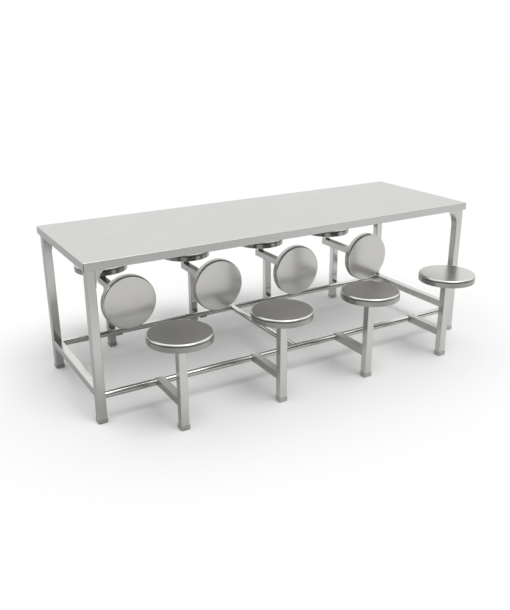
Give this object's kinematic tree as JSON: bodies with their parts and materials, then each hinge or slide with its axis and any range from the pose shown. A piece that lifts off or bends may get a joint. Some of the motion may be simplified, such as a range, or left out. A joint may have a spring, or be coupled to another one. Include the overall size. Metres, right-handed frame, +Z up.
{
  "type": "canteen table",
  "caption": "Long stainless steel canteen table on square legs, with round fold-in stools on T-arms in front and fixed seats with upright discs at the back.",
  "frame": {"origin": "on the floor, at the middle of the bounding box of the table with its seats", "axes": "+X along the table's length to the right as seen from the front stools, +Y from the front stools to the back seats, +Z up"},
  "size_m": [2.15, 1.398, 0.75],
  "materials": {
    "table_sheet": "satin, brushed along the length",
    "seat_pan": "satin, brushed",
    "seat_base": "satin sheet",
    "square_tube": "satin, brushed along the tube",
    "round_pipe": "semi-bright, brushed along the pipe",
    "foot_cap": "satin",
    "hinge_block": "satin"
  },
  "bodies": {
    "frame": {"table_top": "table_sheet", "top_frame_front": "square_tube", "top_frame_back": "square_tube", "top_frame_ends": "square_tube", "top_braces": "square_tube", "leg_front_left": "square_tube", "leg_front_right": "square_tube", "leg_back_left": "square_tube", "leg_back_right": "square_tube", "leg_gussets": "square_tube", "leg_feet": "foot_cap", "end_stretcher_left": "square_tube", "end_stretcher_right": "square_tube", "front_rail": "round_pipe", "back_rail": "round_pipe", "cross_rail": "round_pipe", "back_seat_1": "seat_pan", "back_seat_2": "seat_pan", "back_seat_3": "seat_pan", "back_seat_4": "seat_pan", "upright_disc_1": "seat_pan", "upright_disc_2": "seat_pan", "upright_disc_3": "seat_pan", "upright_disc_4": "seat_pan", "back_post_1": "square_tube", "back_post_2": "square_tube", "back_post_3": "square_tube", "back_post_4": "square_tube", "back_arm_1": "square_tube", "back_arm_2": "square_tube", "back_arm_3": "square_tube", "back_arm_4": "square_tube", "back_risers": "square_tube", "back_feet": "foot_cap", "back_disc_bases": "seat_base", "rail_ties": "square_tube"},
    "stool_1": {"stool_1_seat": "seat_pan", "stool_1_seat_base": "seat_base", "stool_1_post": "square_tube", "stool_1_arm": "square_tube", "stool_1_hinge_block": "hinge_block", "stool_1_foot": "foot_cap"},
    "stool_2": {"stool_2_seat": "seat_pan", "stool_2_seat_base": "seat_base", "stool_2_post": "square_tube", "stool_2_arm": "square_tube", "stool_2_hinge_block": "hinge_block", "stool_2_foot": "foot_cap"},
    "stool_3": {"stool_3_seat": "seat_pan", "stool_3_seat_base": "seat_base", "stool_3_post": "square_tube", "stool_3_arm": "square_tube", "stool_3_hinge_block": "hinge_block", "stool_3_foot": "foot_cap"},
    "stool_4": {"stool_4_seat": "seat_pan", "stool_4_seat_base": "seat_base", "stool_4_post": "square_tube", "stool_4_arm": "square_tube", "stool_4_hinge_block": "hinge_block", "stool_4_foot": "foot_cap"}
  },
  "joints": [
    {"name": "stool_1_fold", "type": "hinge", "parent": "frame", "child": "stool_1", "pos_m": [-0.756, -0.316, 0.129], "axis": [-1, 0, 0], "range_deg": [0, 90]},
    {"name": "stool_2_fold", "type": "hinge", "parent": "frame", "child": "stool_2", "pos_m": [-0.252, -0.316, 0.129], "axis": [-1, 0, 0], "range_deg": [0, 90]},
    {"name": "stool_3_fold", "type": "hinge", "parent": "frame", "child": "stool_3", "pos_m": [0.252, -0.316, 0.129], "axis": [-1, 0, 0], "range_deg": [0, 90]},
    {"name": "stool_4_fold", "type": "hinge", "parent": "frame", "child": "stool_4", "pos_m": [0.756, -0.316, 0.129], "axis": [-1, 0, 0], "range_deg": [0, 90]}
  ]
}
